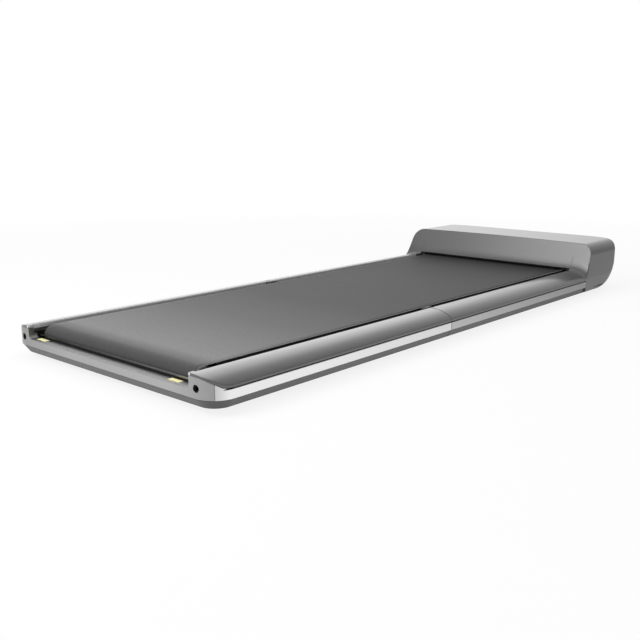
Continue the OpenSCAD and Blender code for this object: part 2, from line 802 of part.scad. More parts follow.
module wheel_axles() {
    color(steel_colour) both_sides()
        rod_x(wheel_x - wheel_w / 2 - wheel_ear - 1, wheel_x + wheel_w / 2 + wheel_ear + 1,
            wheel_y, wheel_z, wheel_axle_r);
}

module feet(places, way) {
    color(black) for (x = [-foot_x, foot_x], u = places)
        translate([x, fold_y + way * u, 0]) cylinder(h = base_lift, r = foot_r);
}

// Hinge leaf with two ears, in distances from the fold
module hinge_leaf() {
    color(steel_colour) both_sides() difference() {
        union() {
            for (x = [ear_x, outer_ear_x]) {
                rod_x(x, x + ear_thick, pin_offset, pin_z, knuckle_r);
                block(x, x + ear_thick, pin_offset - knuckle_r, pin_offset + knuckle_r, leaf_low, pin_z);
            }
            block(ear_x, frame_in, pin_offset - knuckle_r, leaf_end, leaf_low, leaf_high);
        }
        rod_x(ear_x - 1, leaf_out + 1, pin_offset, pin_z, pin_r);
    }
}

module hinge_pins() {
    color([0.75, 0.76, 0.78]) both_sides() rod_x(ear_x, leaf_out, pin_offset, pin_z, pin_r);
}

module hinge_links() {
    color([0.75, 0.76, 0.78]) both_sides() difference() {
        union() {
            for (u = [-pin_offset, pin_offset]) rod_x(link_x, link_x + link_thick, fold_y + u, pin_z, knuckle_r);
            block(link_x, link_x + link_thick, fold_y - pin_offset, fold_y + pin_offset,
                pin_z - knuckle_r, pin_z + knuckle_r);
        }
        for (u = [-pin_offset, pin_offset])
            rod_x(link_x - 1, link_x + link_thick + 1, fold_y + u, pin_z, pin_r + run_clear);
    }
}

module rear_rail(side) {
    post_start = rear_half_length - post_thick;
    color(shell_colour) mirror([side < 0 ? 1 : 0, 0, 0]) rear_half() difference() {
        union() {
            intersection() {
                along_y(fold_gap / 2, rear_half_length) polygon(rail_section());
                along_z(0, hood_height) polygon(rear_plan(0));
            }
            block(cut_half, rail_in + 1, post_start, rear_half_length, rail_top - skin, rail_top);
        }
        block(rail_in - 1, rail_in + skin + 1, post_start - seat, rear_half_length + 1, 0, rail_top - skin);
        fold_edge();
    }
}

module rear_band(side) {
    color(band_colour) mirror([side < 0 ? 1 : 0, 0, 0]) rear_half() intersection() {
        along_z(band_low, rail_top) difference() {
            polygon(rear_plan(0));
            polygon(rear_plan(band_thick));
        }
        union() {
            block(seam_x + seam_gap, half_w + 1, fold_gap / 2, rear_half_length, band_low, band_high);
            intersection() {
                along_y(rear_half_length - rear_corner, rear_half_length) polygon(bar_section());
                block(seam_x + seam_gap, half_w, 0, rear_half_length, band_low, rail_top);
            }
        }
    }
}

seam_gap = 0.4;
// Front view of the crossbar's right half: its top follows the rail cover's underside
function bar_section() = concat([[0, band_low], [half_w, band_low], [half_w, band_high], [half_w - skin - seat, band_high]],
    reversed(slope(skin + seat)), [[0, rail_top - skin - seat]]);

sill_break = 0.8;
module crossbar_cut() {
    cut_top = rail_top + 1;
    along_y(rear_half_length - rear_corner, rear_half_length + 1) polygon(concat(
        [[cut_half, cut_top]],
        arc(cut_half - cut_radius, sill_height + cut_radius, cut_radius, 0, -90, 6),
        arc(-cut_half + cut_radius, sill_height + cut_radius, cut_radius, -90, -180, 6),
        [[-cut_half, cut_top]]));
    along_x(-cut_half + cut_radius, cut_half - cut_radius)
        polygon([[rear_half_length - sill_break - 1, sill_height + 1], [rear_half_length + 1, sill_height + 1],
            [rear_half_length + 1, sill_height - sill_break - 1]]);
}

bolt_r = 4;
module rear_crossbar() {
    color(bar_colour) rear_half() difference() {
        union() {
            intersection() {
                both_sides() along_y(0, rear_half_length) polygon(bar_section());
                along_z(0, rail_top) difference() {
                    polygon(rear_plan(0));
                    polygon(rear_plan(post_thick));
                }
                block(-seam_x, seam_x, rear_half_length - rear_corner, rear_half_length, 0, rail_top);
            }
            block(-frame_in + seat, frame_in - seat, rear_half_length - sill_width,
                rear_half_length - post_thick + eps, band_low, sill_height + cut_radius);
            both_sides() block(frame_in, frame_in + boss_w, rear_frame_end, rear_half_length - post_thick + eps,
                band_low + 2, inner_wall_low - seat);
        }
        crossbar_cut();
        both_sides() rod_y(frame_mid, rear_half_length - rear_corner, rear_half_length + 1, roller_z, post_hole_r);
    }
}

mark_w = 26;
mark_x = cut_half - 23.2 - mark_w / 2;
mark_shift = -6.5;
mark_depth = 9;
mark_inset = 6;
mark_thick = 0.4;
module sill_marks() {
    color([0.95, 0.9, 0.55]) rear_half() translate([mark_shift, 0, 0]) both_sides()
        block(mark_x - mark_w / 2, mark_x + mark_w / 2, rear_half_length - mark_inset - mark_depth,
            rear_half_length - mark_inset, sill_height, sill_height + mark_thick);
}

module rear_base() {
    wall_stop = rear_half_length - rear_corner;
    color(base_colour) difference() {
        rear_half() {
            pan_run(fold_gap / 2, wall_stop);
            pan_end(fold_gap / 2, fold_gap / 2 + pan_wall);
            rear_pan_end();
        }
        screw_holes(rear_screw_at, -1);
    }
}

// Closed rear end of the pan: its rounded corners taper in towards the floor
module rear_pan_form(cut, top) {
    low = base_lift + cut;
    corner_x = half_w - rear_corner;
    corner_u = rear_half_length - rear_corner;
    start_u = corner_u - (cut > 0 ? 2 : 1);
    low_r = rear_corner - pan_taper - cut + (pan_taper - 1) * cut / (pan_top - base_lift);
    high_r = rear_corner - pan_taper - cut + (pan_taper - 1) * (top - base_lift) / (pan_top - base_lift);
    intersection() {
        union() {
            both_sides() translate([corner_x, corner_u, low]) cylinder(h = top - low, r1 = low_r, r2 = high_r);
            along_x(-corner_x, corner_x) polygon([[start_u, low], [corner_u + low_r, low],
                [corner_u + high_r, top], [start_u, top]]);
        }
        block(-half_w, half_w, corner_u, rear_half_length, 0, top + 1);
    }
    along_y(start_u, corner_u) polygon([[-corner_x - low_r, low], [corner_x + low_r, low],
        [corner_x + high_r, top], [-corner_x - high_r, top]]);
}

module rear_pan_end() {
    difference() {
        rear_pan_form(0, pan_top);
        rear_pan_form(pan_wall, pan_top + 1);
    }
}

// Cross-drilled shaft and the bolts that pull it
module rear_roller_shaft() {
    color(steel_colour) rear_half() difference() {
        roller_shaft(rear_roller_at);
        both_sides() rod_y(frame_mid, rear_roller_at - shaft_r - 1, rear_roller_at + shaft_r + 1, roller_z, bolt_r);
    }
}

// Thin bar between the frames, behind the rear roller
guard_low = 43;
guard_high = 46;
guard_thick = 1.4;
guard_gap = 2;
module rear_guard() {
    guard_at = rear_roller_at + roller_r + belt_thick + guard_gap;
    color(bar_colour) rear_half()
        block(-frame_in, frame_in, guard_at, guard_at + guard_thick, guard_low, guard_high);
}

bolt_head_r = 5.5;
bolt_recess = 3;
bolt_head = post_thick + boss_length - bolt_recess;
key_r = 3.4;
module tension_bolts() {
    head_end = rear_half_length - bolt_recess;
    color(black) rear_half() both_sides() difference() {
        union() {
            rod_y(frame_mid, rear_roller_at - shaft_r - 6, head_end, roller_z, bolt_r);
            rod_y(frame_mid, head_end - bolt_head, head_end, roller_z, bolt_head_r);
        }
        translate([frame_mid, head_end - 4, roller_z]) rotate([-90, 0, 0]) cylinder(h = 5, r = key_r, $fn = 6);
    }
}

front_shell();
front_band(-1);  // front_band_left
front_band(1);  // front_band_right
front_base();
front_frame(-1);  // front_frame_left
front_frame(1);  // front_frame_right
front_half() cross_members(front_member_at);  // front_cross_members
front_half() deck(front_deck_end);  // front_deck
front_half() cushions(front_member_at);  // front_deck_cushions
front_half() belt_half(front_roller_at);  // front_belt
front_half() roller(front_roller_at);  // front_roller
front_half() bearings(front_roller_at);  // front_roller_bearings
front_half() color(steel_colour) roller_shaft(front_roller_at);  // front_roller_shaft
roller_pulley();
drive_belt();
motor_housing();
motor_bracket();
motor_rotor();
controller_board();
heat_sink();
power_inlet();
switch_frame();
switch_rocker();
wheel(-1);  // wheel_left
wheel(1);  // wheel_right
wheel_axles();
feet(front_foot_at, 1);  // front_feet
screws(front_screw_at, 1);  // front_screws
front_half() guide_roller(upper_guide_at, guide_upper_z);  // front_upper_guide
front_half() guide_roller(lower_guide_at, guide_lower_z);  // front_lower_guide
front_half() guide_shafts();  // front_guide_shafts
front_half() hinge_leaf();  // front_hinge_leaves
front_half() hinge_pins();  // front_hinge_pins
hinge_links();
rear_half() hinge_pins();  // rear_hinge_pins
rear_half() hinge_leaf();  // rear_hinge_leaves
rear_rail(-1);  // rear_rail_left
rear_rail(1);  // rear_rail_right
rear_band(-1);  // rear_band_left
rear_band(1);  // rear_band_right
rear_crossbar();
rear_guard();
sill_marks();
rear_base();
rear_frame(-1);  // rear_frame_left
rear_frame(1);  // rear_frame_right
rear_half() cross_members(rear_member_at);  // rear_cross_members
rear_half() deck(rear_deck_end);  // rear_deck
rear_half() cushions(rear_member_at);  // rear_deck_cushions
rear_half() belt_half(rear_roller_at);  // rear_belt
rear_half() roller(rear_roller_at);  // rear_roller
rear_half() bearings(rear_roller_at);  // rear_roller_bearings
rear_roller_shaft();
tension_bolts();
rear_half() guide_roller(upper_guide_at, guide_upper_z);  // rear_upper_guide
rear_half() guide_roller(lower_guide_at, guide_lower_z);  // rear_lower_guide
rear_half() guide_shafts();  // rear_guide_shafts
feet(rear_foot_at, -1);  // rear_feet
screws(rear_screw_at, -1);  // rear_screws
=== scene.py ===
import math

import bmesh
import bpy
from mathutils import Matrix, Vector


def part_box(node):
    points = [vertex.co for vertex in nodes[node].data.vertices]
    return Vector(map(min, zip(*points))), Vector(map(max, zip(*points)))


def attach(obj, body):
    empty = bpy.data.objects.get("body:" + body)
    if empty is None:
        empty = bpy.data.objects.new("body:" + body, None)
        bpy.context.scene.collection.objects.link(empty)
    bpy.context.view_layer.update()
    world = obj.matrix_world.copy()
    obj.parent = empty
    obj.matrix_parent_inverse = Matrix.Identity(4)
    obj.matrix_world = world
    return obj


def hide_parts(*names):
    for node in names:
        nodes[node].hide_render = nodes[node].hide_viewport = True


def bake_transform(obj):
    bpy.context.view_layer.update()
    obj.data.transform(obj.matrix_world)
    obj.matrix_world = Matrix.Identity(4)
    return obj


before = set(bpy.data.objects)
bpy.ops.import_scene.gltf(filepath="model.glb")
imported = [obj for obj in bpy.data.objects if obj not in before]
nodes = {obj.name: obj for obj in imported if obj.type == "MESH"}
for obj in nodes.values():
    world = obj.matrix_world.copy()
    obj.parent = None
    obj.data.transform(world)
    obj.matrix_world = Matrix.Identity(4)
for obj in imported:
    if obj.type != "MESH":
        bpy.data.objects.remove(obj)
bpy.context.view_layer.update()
scene = bpy.context.scene
scene.view_settings.view_transform = "Standard"

# The camera stands behind the roller end and to its right, a little above the belt.
# It looks along the pad towards the hood, as the photograph does.
turn, tilt, roll = math.radians(41.5168), math.radians(12.7593), math.radians(0.0918)
ahead = Vector((-math.sin(turn) * math.cos(tilt), math.cos(turn) * math.cos(tilt), -math.sin(tilt)))
level = Vector((math.cos(turn), math.sin(turn), 0))
upright = level.cross(ahead)
across = math.cos(roll) * level + math.sin(roll) * upright
upward = -math.sin(roll) * level + math.cos(roll) * upright
eye = bpy.data.objects.new("eye", bpy.data.cameras.new("eye"))
scene.collection.objects.link(eye)
eye.matrix_world = Matrix.Translation((1.12933, -1.457555, 0.402197)) @ Matrix(
    [(across[i], upward[i], -ahead[i]) for i in range(3)]
).to_4x4()
eye.data.sensor_width = 36
eye.data.lens = 36 * 838.04 / 640
eye.data.clip_start, eye.data.clip_end = 0.01, 60
scene.camera = eye


# The base pans are moulded in dark grey plastic with a fine grain.
# They carry everything else and are screwed to the frame tubes from below.
class Wire:
    """What a shader node gives out. A sum of wires makes the Math nodes for it."""

    def __init__(self, board, socket):
        self.board, self.socket = board, socket

    def sum(self, operation, first, second):
        return self.board.add("Math", {"operation": operation}, {0: first, 1: second})

    def __add__(self, other):
        return self.sum("ADD", self, other)

    def __sub__(self, other):
        return self.sum("SUBTRACT", self, other)

    def __rsub__(self, other):
        return self.sum("SUBTRACT", other, self)

    def __mul__(self, other):
        return self.sum("MULTIPLY", self, other)

    def __gt__(self, other):
        return self.sum("GREATER_THAN", self, other)

    def __lt__(self, other):
        return self.sum("LESS_THAN", self, other)

    def __abs__(self):
        return self.sum("ABSOLUTE", self, 0)

    __radd__, __rmul__ = __add__, __mul__


class Board:
    """The nodes of a material or of the world, all made by one method."""

    def __init__(self, tree):
        self.tree = tree

    def add(self, kind, settings=None, sockets=None, output=0):
        node = self.tree.nodes.new("ShaderNode" + kind)
        for name, value in (settings or {}).items():
            if name == "stops":
                spots = node.color_ramp.elements
                spots[0].position, spots[0].color = value[0]
                spots[1].position, spots[1].color = value[-1]
                for at, colour in value[1:-1]:
                    spots.new(at).color = colour
            else:
                setattr(node, name, value)
        self.wire(node, sockets or {})
        return Wire(self, node.outputs[output])

    def wire(self, node, sockets):
        for name, value in sockets.items():
            if isinstance(value, Wire):
                self.tree.links.new(value.socket, node.inputs[name])
            else:
                node.inputs[name].default_value = value


class Finish(Board):
    """One material of the pad, with its colour, gloss and grain made from nodes."""

    def __init__(self, name, **plain):
        self.material = bpy.data.materials.new(name)
        self.material.use_nodes = True
        super().__init__(self.material.node_tree)
        self.shader = self.tree.nodes["Principled BSDF"]
        self.place = self.add("TexCoord", output="Object")
        self.shade(**plain)

    def axes(self):
        return [self.add("SeparateXYZ", {}, {0: self.place}, output=axis) for axis in "XYZ"]

    def shade(self, **sockets):
        self.wire(self.shader, {name.replace("_", " "): value for name, value in sockets.items()})
        return self

    def stretched(self, x, y, z):
        return self.add("VectorMath", {"operation": "MULTIPLY"}, {0: self.place, 1: (x, y, z)})

    def cloud(self, scale, detail=2.0, where=None):
        """Soft random patches, from 0 to 1, this many to the metre."""
        return self.add("TexNoise", {}, {
            "Vector": where or self.place, "Scale": scale, "Detail": detail})

    def mix(self, amount, low, high):
        return self.add("Mix", {"data_type": "RGBA"}, {0: amount, 6: low, 7: high}, output=2)

    def spread(self, value, stops):
        """Colours along a value."""
        return self.add("ValToRGB", {"stops": stops}, {0: value})

    def height(self, value, depth, rounding=0):
        """Relief this many metres deep where the value is 1, over edges rounded by this much."""
        sockets = {"Height": value, "Distance": depth}
        if rounding:
            sockets["Normal"] = self.add("Bevel", {"samples": 6}, {"Radius": rounding})
        return self.shade(Normal=self.add("Bump", {}, sockets))

    def cover(self, *names):
        for name in names:
            for place in nodes[name].material_slots:
                place.material = self.material
        return self


def grey(level, warm=0.0):
    """A grey of the photograph's 0 to 255 scale as a shader colour, slightly warm or cold."""
    linear = [((level + shift) / 255) ** 2.2 for shift in (warm, 0, -warm)]
    return (*linear, 1.0)


def moulded(name, level, rough, grain, depth):
    """Plastic or rubber from a textured mould, with patches a little darker and lighter."""
    plastic = Finish(name)
    mottle, unevenness = 6, 0.12
    patches = plastic.cloud(14, 3)
    fine = plastic.cloud(grain, 2)
    plastic.shade(Base_Color=plastic.mix(patches, grey(level - mottle), grey(level + mottle)))
    plastic.shade(Roughness=rough + (fine - 0.5) * unevenness)
    return plastic.height(fine, depth)


pan_plastic = moulded("pan_plastic", 80, 0.42, 1600, 0.00006)
pan_plastic.cover("front_base", "rear_base")

# The frames are square steel tubes and cross members, powder coated in black.
# The fold hinge's leaves and links are pressed from the same coated steel.
powder = moulded("black_powder_coat", 26, 0.45, 2600, 0.00004)
powder.cover("front_frame_left", "front_frame_right", "rear_frame_left", "rear_frame_right",
             "front_cross_members", "rear_cross_members", "motor_bracket",
             "front_hinge_leaves", "rear_hinge_leaves", "hinge_links")

# The deck boards are pressed wood fibre with a dark waxed laminate on top.
# They lie on round rubber cushions, which are stuck to the cross members.
laminate = Finish("deck_laminate")
fibre = laminate.cloud(60, 4, laminate.stretched(1, 6, 1))
laminate.shade(Base_Color=laminate.mix(fibre, grey(24, 1), grey(36, 2)),
               Roughness=0.5 + fibre * 0.1)
laminate.height(fibre, 0.0001).cover("front_deck", "rear_deck")
soft_rubber = moulded("soft_rubber", 34, 0.7, 900, 0.00008)
soft_rubber.cover("front_deck_cushions", "rear_deck_cushions", "front_feet", "rear_feet",
                  "drive_belt")


# The rollers are turned steel tubes on ground bearings and fixed shafts.
# Turning leaves fine rings round them, so the grain runs across the pad.
def turned(name, level, rough, rings):
    """Metal from a lathe whose axis lies across the pad."""
    metal = Finish(name, Metallic=1.0)
    lines = metal.cloud(rings, 3, metal.stretched(1, 0.02, 0.02))
    metal.shade(Base_Color=metal.mix(lines, grey(level - 12), grey(level + 10)),
                Roughness=rough + lines * 0.12)
    return metal.height(lines, 0.00003)


roller_steel = turned("turned_steel", 178, 0.26, 1400)
roller_steel.cover("front_roller", "rear_roller", "front_roller_shaft", "rear_roller_shaft",
                   "front_guide_shafts", "rear_guide_shafts")
bright_steel = turned("ground_steel", 205, 0.16, 3000)
bright_steel.cover("front_roller_bearings", "rear_roller_bearings", "motor_rotor", "wheel_axles",
                   "front_hinge_pins", "rear_hinge_pins")
nylon = moulded("black_nylon", 30, 0.38, 1200, 0.00004)
nylon.cover("roller_pulley", "front_upper_guide", "front_lower_guide", "rear_upper_guide",
            "rear_lower_guide", "power_inlet")

# The motor, its control board and the heat sink sit under the hood.
# The can is painted, the board is lacquered and the fins are black anodised.
paint = moulded("motor_paint", 44, 0.3, 500, 0.00003)
paint.cover("motor_housing")
lacquer = Finish("board_lacquer", Coat_Weight=0.5)
tracks = lacquer.add("TexBrick", {}, {
    "Vector": lacquer.place, "Scale": 90, "Mortar Size": 0.012, "Mortar": (0.25, 0.16, 0.04, 1),
    "Color1": (0.01, 0.12, 0.05, 1), "Color2": (0.015, 0.17, 0.07, 1)})
lacquer.shade(Base_Color=tracks, Roughness=0.35).cover("controller_board")
anodised = Finish("black_anodised", Metallic=1.0)
satin = anodised.cloud(2200)
anodised.shade(Base_Color=anodised.mix(satin, grey(34), grey(46)), Roughness=0.38 + satin * 0.1)
anodised.cover("heat_sink")

# The walking belt is a woven ply with a dark, finely grained cover.
# It runs over both rollers, under the lower guides and back over the upper guides at the fold.
# The cover's grey is painted light and shade, as in the photograph: palest near the roller as a
# painted sheen, deeper towards the hood and round the roller's bend as painted shade, and black
# under the hood's lip as a painted shadow.
fold_y = (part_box("front_shell")[0].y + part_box("rear_rail_right")[1].y) / 2
half_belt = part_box("front_belt")[1].x


def belt_cover():
    """The cover's grain, its grey along the run, and the slanting join of the belt's ends."""
    cover = Finish("belt_cover", Specular_IOR_Level=0.22)
    x, y, z = cover.axes()
    fine = cover.cloud(1500, 2)
    weave = cover.add("TexWave", {"wave_type": "BANDS", "bands_direction": "DIAGONAL"}, {
        "Vector": cover.stretched(1, 1, 0), "Scale": 210, "Distortion": 1.5, "Detail": 1})
    wear = cover.cloud(9, 3, cover.stretched(1, 0.35, 1))
    join_behind, join_slant, join_half, upper_run = 0.0336, 0.215, 0.0009, 0.056
    waver = (cover.cloud(60, 1) - 0.5) * 0.001
    from_join = abs(y + join_behind + x * join_slant + waver)
    join = (from_join < join_half) * (z > upper_run)
    from_hood = 0.52 - y * 0.68
    # Painted light along the run: a sheen near the roller, shade towards the hood and round the
    # roller's bend, and a black shadow under the hood's lip.
    painted_light_along_belt = cover.spread(from_hood, [
        (0.182, grey(5)), (0.19, grey(40)), (0.42, grey(62)), (0.66, grey(70)), (0.8, grey(92)),
        (0.955, grey(124)), (0.99, grey(70))])
    slant_x, slant_y = 0.75, 0.66
    lay = cover.add("CombineXYZ", {}, {0: (x * slant_x + y * slant_y) * 420,
                                       1: (y * slant_x - x * slant_y) * 45})
    scuffs = cover.cloud(1, 2, lay)
    shade = wear * 0.3 + fine * 0.2 + scuffs * 0.5 - join * 0.6
    cover.shade(Base_Color=cover.add("Mix", {"data_type": "RGBA", "blend_type": "MULTIPLY"}, {
        0: 1.0, 6: painted_light_along_belt, 7: cover.mix(shade, (0.7, 0.7, 0.7, 1), (1.3, 1.3, 1.3, 1))}, output=2))
    cover.shade(Roughness=0.52 + fine * 0.08 + wear * 0.06)
    return cover.height(fine * 0.7 + weave * 0.3 - join * 2, 0.00009)


def ply(name, low, high):
    """The woven ply, as seen on the belt's inside, or along its cut edge with a painted highlight.
    """
    cloth = Finish(name, Roughness=0.8)
    threads = cloth.cloud(2400, 1, cloth.stretched(1, 0.4, 1))
    return cloth.shade(Base_Color=cloth.mix(threads, grey(low), grey(high))).height(threads, 0.0001)


# The cut edge's pale grey is a painted highlight along the belt's edge.
cover, cut_edge_highlight, inside = belt_cover(), ply("belt_cut_edge", 205, 235), ply("belt_inside", 58, 74)


def arc(cx, cz, radius, start, stop, steps):
    """Points round part of a circle, between two angles in degrees."""
    angles = [math.radians(start + (stop - start) * i / steps) for i in range(steps + 1)]
    return [(cx + radius * math.cos(angle), cz + radius * math.sin(angle)) for angle in angles]


def centre(name):
    """The axis and the radius of a roller or guide."""
    low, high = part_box(name)
    return (low + high) / 2, (high.z - low.z) / 2


def belt_line(end, thick):
    """The middle of the belt's thickness from the fold round one half's rollers and back.

    Each point is its distance from the fold and its height."""
    (roller, roller_r), (upper, guide_r), (lower, _) = (
        centre(f"{end}_{name}") for name in ("roller", "upper_guide", "lower_guide"))
    clearance, close_rows, even_from = 0.00008, [*range(13), 14, 17, 22, 30, 45, 70], 0.1
    roller_r, guide_r = roller_r + clearance, guide_r + clearance
    at, up_at, low_at = (abs(axis.y - fold_y) for axis in (roller, upper, lower))
    drop, run = upper.z - lower.z, low_at - up_at
    fall = math.atan2(drop, run)
    dive = math.degrees(math.asin((2 * guide_r + thick) / math.hypot(drop, run)) + fall)
    line = [(mm / 1000, roller.z + roller_r + thick / 2) for mm in close_rows]
    line += [(even_from + (at - even_from) * i / 22, line[0][1]) for i in range(22)]
    line += arc(at, roller.z, roller_r + thick / 2, 90, -90, 40)
    bottom = roller.z - roller_r - thick / 2
    line += [(at + (low_at - at) * i / 12, bottom) for i in range(1, 12)]
    line += arc(low_at, lower.z, guide_r + thick / 2, 270, 270 - dive, 14)
    line += arc(up_at, upper.z, guide_r + thick / 2, 90 - dive, 90, 14)
    top = upper.z + guide_r + thick / 2
    back_rows = [18, 14, *range(12, -1, -1)]
    return line + [(mm / 1000, top) for mm in back_rows if mm / 1000 < up_at]


def belt_band(name, end, way):
    """One half of the endless belt as a closed band with rounded edges and three finishes."""
    thick, edge, margin = 0.0016, 0.00035, 0.012
    line = belt_line(end, thick)
    sides = [-half_belt, -half_belt + edge]
    sides += [-half_belt + margin + i * (half_belt - margin) / 8 for i in range(17)]
    sides += [half_belt - edge, half_belt]
    mesh, rows = bmesh.new(), []
    for i, (d, z) in enumerate(line):
        (d0, z0), (d1, z1) = line[max(i - 1, 0)], line[min(i + 1, len(line) - 1)]
        long = math.hypot(d1 - d0, z1 - z0)
        out = Vector((0, way * -(z1 - z0) / long, (d1 - d0) / long))
        middle = Vector((0, fold_y + way * d, z))
        row = []
        for face in (1, -1):
            for x in sides if face > 0 else reversed(sides):
                inset = edge if abs(x) == half_belt else 0
                rise = out * face * (thick / 2 - inset)
                row.append(mesh.verts.new(middle + Vector((x, 0, 0)) + rise))
        rows.append(row)
    count = len(rows[0])
    for row, following in zip(rows, rows[1:]):
        for i in range(count):
            j = (i + 1) % count
            face = mesh.faces.new((row[i], row[j], following[j], following[i]))
            at_edge = i in (len(sides) - 1, count - 1)
            face.material_index = 1 if at_edge else (0 if i < len(sides) else 2)
            face.smooth = not at_edge
    for row in (rows[0], rows[-1]):
        mesh.faces.new(row).material_index = 1
    bmesh.ops.recalc_face_normals(mesh, faces=mesh.faces)
    data = bpy.data.meshes.new(name)
    mesh.to_mesh(data)
    for part in (cover, cut_edge_highlight, inside):
        data.materials.append(part.material)
    band = bpy.data.objects.new(name, data)
    scene.collection.objects.link(band)
    return band


front_band = belt_band("walking_belt_front", "front", 1)
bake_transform(front_band)
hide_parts("front_belt")
rear_band = belt_band("walking_belt_rear", "rear", -1)
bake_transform(rear_band)
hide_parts("rear_belt")

# The hood, the front rails and the rear rail covers are moulded with one glossy grey finish.
# A faint orange peel in the paint softens its reflections. The rails' inner walls beside the belt
# are painted pale as a highlight, and the edge of the hood over the belt's mouth is painted black
# as shade and has no gloss coat.
gloss = Finish("shell_gloss", Coat_Roughness=0.15, Metallic=0.35)
drift, peel = gloss.cloud(5, 2), gloss.cloud(320, 2)
sideways, lengthways, up = gloss.axes()


def between(value, low, high):
    """1 where a value lies between two limits, 0 elsewhere."""
    return (value > low) * (value < high)


# The rails' inner walls are painted pale grey as a highlight.
lip_wall_highlight = (abs(sideways) < 0.2239) * (lengthways < 0.48) * between(up, 0.055, 0.0622)
# The wall under the hood's lip over the belt's mouth is painted black as shade, without the gloss
# coat.
mouth = (abs(sideways) < 0.2234) * between(lengthways, 0.5, 0.515) * between(up, 0.0602, 0.0661)
painted = gloss.mix(lip_wall_highlight, gloss.mix(drift, grey(83), grey(88)), grey(225))
gloss.shade(Base_Color=gloss.mix(mouth, painted, grey(3)), Coat_Weight=1 - mouth)
gloss.shade(Roughness=0.3 + drift * 0.06)
gloss.height(peel, 0.00003, 0.004).cover("front_shell", "rear_rail_left", "rear_rail_right")

# The hood's rear face runs out in one smooth hollow, moulded with the hood.
# It sweeps onto the rail at each side, and over the belt's mouth it is cut off as a lip.
shell_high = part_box("front_shell")[1]
side, mouth_side, crest, lowest = shell_high.x, 0.2235, 0.0625, 0.046
hood_top_length, rail_slope_from, rail_slope_turn = 0.177, 0.225, math.radians(60)
face_top = Vector((shell_high.y - hood_top_length, shell_high.z))
face_lean, side_draft = math.radians(25.2), math.tan(math.radians(6.9))
up_face = Vector((math.sin(face_lean), math.cos(face_lean)))
lip_gap, body_depth, sliver = 0.0037, 0.014, 0.0001


def rail_height(x):
    """Top of the rail at a distance from the middle of the pad."""
    reach = (x - rail_slope_from) / (side - rail_slope_from) * math.sin(rail_slope_turn)
    return crest - (crest - lowest) * 2 * (1 - math.sqrt(1 - max(reach, 0) ** 2))


def hollow_row(x, lip):
    """One section of the hollow, from behind its foot round its face and back inside the hood."""
    z = crest if lip else rail_height(x)
    root = Vector((face_top.x - (face_top.y - z) * math.tan(face_lean), z))
    out = max((x - mouth_side) / (side - mouth_side), 0) ** 2
    run_out, climb, sunk, steps = 0.009 + 0.009 * out, 0.036 + 0.004 * out, 0.003, 40
    p0, p3 = root - Vector((run_out, 0)), root + up_face * climb
    p1, p2 = p0.lerp(root, 0.6), p3.lerp(root, 0.8)
    curve = [p0 * (1 - t) ** 3 + p1 * 3 * t * (1 - t) ** 2 + p2 * 3 * t * t * (1 - t) + p3 * t ** 3
             for t in [k / steps for k in range(steps + 1)]]
    foot = [Vector((root.x + body_depth, z - sunk)), p0 + Vector((-sunk, -sunk)),
            p0 + Vector((-sunk, -0.0005))]
    if lip:
        curve = [at for at in curve if at.y > z + lip_gap]
        foot = [Vector((root.x + body_depth, curve[0].y))]
    top = p3 + up_face * 0.005 + Vector((sliver, 0))
    return foot, curve + [top], [top + Vector((body_depth, 0))]


def hood_sweep():
    """The fillings along the hood's foot, each closed behind and at its ends."""
    onto_rail = [mouth_side, mouth_side + sliver]
    onto_rail += [mouth_side + (side - 0.00005 - mouth_side) * i / 24 for i in range(1, 25)]
    across_mouth = [(mouth_side - sliver) * i / 12 for i in range(-12, 13)]
    across_mouth = [-mouth_side] + across_mouth + [mouth_side]
    fillings = ((onto_rail, 1, False), (onto_rail, -1, False), (across_mouth, 1, True))
    mesh = bmesh.new()
    for places, way, lip in fillings:
        rows = []
        for x in places:
            row = []
            foot, face, back = hollow_row(x, lip)
            for at in foot + face + back:
                drafted = 1 if lip else 1 - max(at.y - lowest, 0) * side_draft / (side - mouth_side)
                wide = x if lip else mouth_side + (x - mouth_side) * drafted
                row.append(mesh.verts.new((way * wide, at.x, at.y)))
            rows.append(row)
        count = len(rows[0])
        for row, following in zip(rows, rows[1:]):
            for i in range(count):
                j = (i + 1) % count
                on_face = len(foot) <= i < len(foot) + len(face) - 1
                mesh.faces.new((row[i], row[j], following[j], following[i])).smooth = on_face
        for row in (rows[0], rows[-1]):
            mesh.faces.new(row)
    bmesh.ops.recalc_face_normals(mesh, faces=mesh.faces)
    data = bpy.data.meshes.new("hood_sweep")
    mesh.to_mesh(data)
    data.materials.append(gloss.material)
    filling = bpy.data.objects.new("hood_sweep", data)
    scene.collection.objects.link(filling)
    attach(filling, "front_half")


hood_sweep()

# The side bands and the crossbar are bright trim with a fine brushed grain along them.
# The front pair is painted a shade darker than the rear pair, and each grey changes along the trim
# as painted reflections and shade.
def brushed(name, rough, along_pad, where, *stops):
    """Satin trim brushed along the pad, or across it. Its grey follows its place on the trim, as
    painted reflections and shade.
    """
    trim = Finish(name, Metallic=1.0)
    stretch = (1, 0.01, 1) if along_pad else (0.01, 1, 1)
    lines = trim.cloud(2600, 2, trim.stretched(*stretch))
    painted_light_tone = trim.spread(where(*trim.axes()), [(at, grey(level)) for at, level in stops])
    grain = trim.mix(lines, (0.94, 0.94, 0.94, 1), (1.04, 1.04, 1.04, 1))
    trim.shade(Base_Color=trim.add("Mix", {"data_type": "RGBA", "blend_type": "MULTIPLY"}, {
        0: 1.0, 6: painted_light_tone, 7: grain}, output=2))
    return trim.shade(Roughness=rough + lines * 0.06).height(lines, 0.00001, 0.001)


# The rear bands are painted darker at their rear ends, by the crossbar's corners, as painted shade.
rear_trim = brushed("rear_band_trim", 0.26, True, lambda x, y, z: y + 0.73,
                    (0.014, 168), (0.045, 240), (0.62, 232))
rear_trim.cover("rear_band_left", "rear_band_right")
